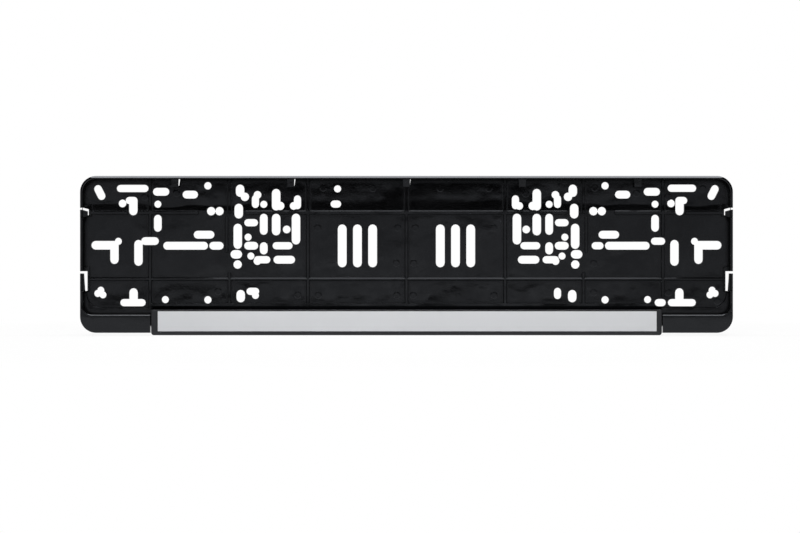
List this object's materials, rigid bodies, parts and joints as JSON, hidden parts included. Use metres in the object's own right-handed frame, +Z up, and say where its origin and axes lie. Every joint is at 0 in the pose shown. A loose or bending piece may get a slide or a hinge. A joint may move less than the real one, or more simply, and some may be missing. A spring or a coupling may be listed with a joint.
{
  "type": "number plate holder",
  "caption": "Long shallow tray that is screwed to a car and holds a number plate under edge hooks, with a field of screw slots and a clip-on retaining strip along its lower edge.",
  "frame": {"origin": "middle of the four-screw pattern, on the flat mounting face at the back", "axes": "+Z up as mounted, -Y out of the front towards the viewer, +X to the viewer's right"},
  "size_m": [0.53, 0.013, 0.1292],
  "materials": {
    "tray_plastic": "glossy black moulded plastic",
    "strip_plastic": "satin black moulded plastic",
    "label_film": "plain silver-grey film"
  },
  "bodies": {
    "root": {"base_frame": "tray_plastic", "retaining_strip": "strip_plastic", "strip_label": "label_film"}
  },
  "joints": []
}
